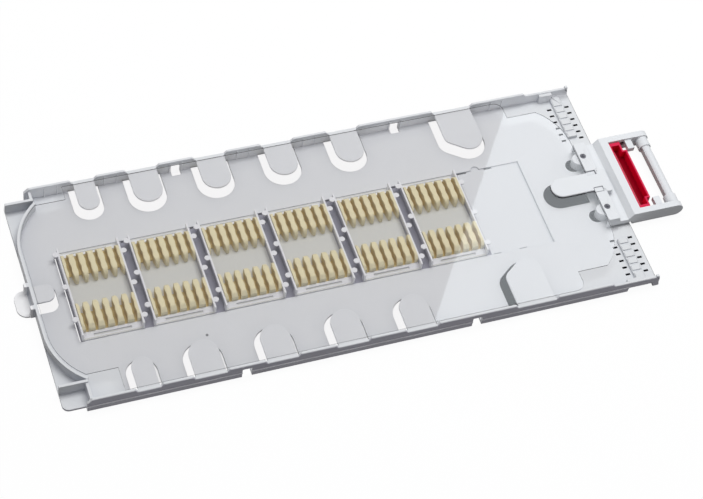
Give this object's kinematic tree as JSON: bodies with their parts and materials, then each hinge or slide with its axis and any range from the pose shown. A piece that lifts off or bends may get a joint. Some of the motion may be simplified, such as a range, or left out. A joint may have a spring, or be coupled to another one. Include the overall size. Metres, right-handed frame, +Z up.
{
  "type": "fibre splice tray",
  "caption": "Shallow white tray for optical fibre splices, with combs in snap-in holders, hold-down fingers, a clear cover and a hinge bracket with a red latch.",
  "frame": {"origin": "under the middle of the whole part, on the surface that the tray rests on", "axes": "+X along the tray from its closed end to the hinge end, +Y across it, +Z up out of the open side"},
  "size_m": [0.424, 0.158, 0.0111],
  "materials": {
    "tray_plastic": "satin moulded, pale grey white",
    "bracket_plastic": "satin moulded, white",
    "screw_steel": "blackened steel",
    "latch_plastic": "glossy red",
    "cover_film": "clear and glossy",
    "holder_plastic": "milky, slightly see-through",
    "comb_rubber": "soft, cream"
  },
  "bodies": {
    "tray": {"tray_base": "tray_plastic", "hinge_bracket": "bracket_plastic", "bracket_screws": "screw_steel", "clear_cover": "cover_film", "splice_holder_1": "holder_plastic", "splice_holder_2": "holder_plastic", "splice_holder_3": "holder_plastic", "splice_holder_4": "holder_plastic", "splice_holder_5": "holder_plastic", "splice_holder_6": "holder_plastic", "comb_far_1": "comb_rubber", "comb_near_1": "comb_rubber", "comb_far_2": "comb_rubber", "comb_near_2": "comb_rubber", "comb_far_3": "comb_rubber", "comb_near_3": "comb_rubber", "comb_far_4": "comb_rubber", "comb_near_4": "comb_rubber", "comb_far_5": "comb_rubber", "comb_near_5": "comb_rubber", "comb_far_6": "comb_rubber", "comb_near_6": "comb_rubber"},
    "latch": {"latch_slide": "latch_plastic"}
  },
  "joints": [
    {"name": "latch_travel", "type": "slide", "parent": "tray", "child": "latch", "axis": [1, 0, 0], "range_m": [0, 0.0037]}
  ]
}
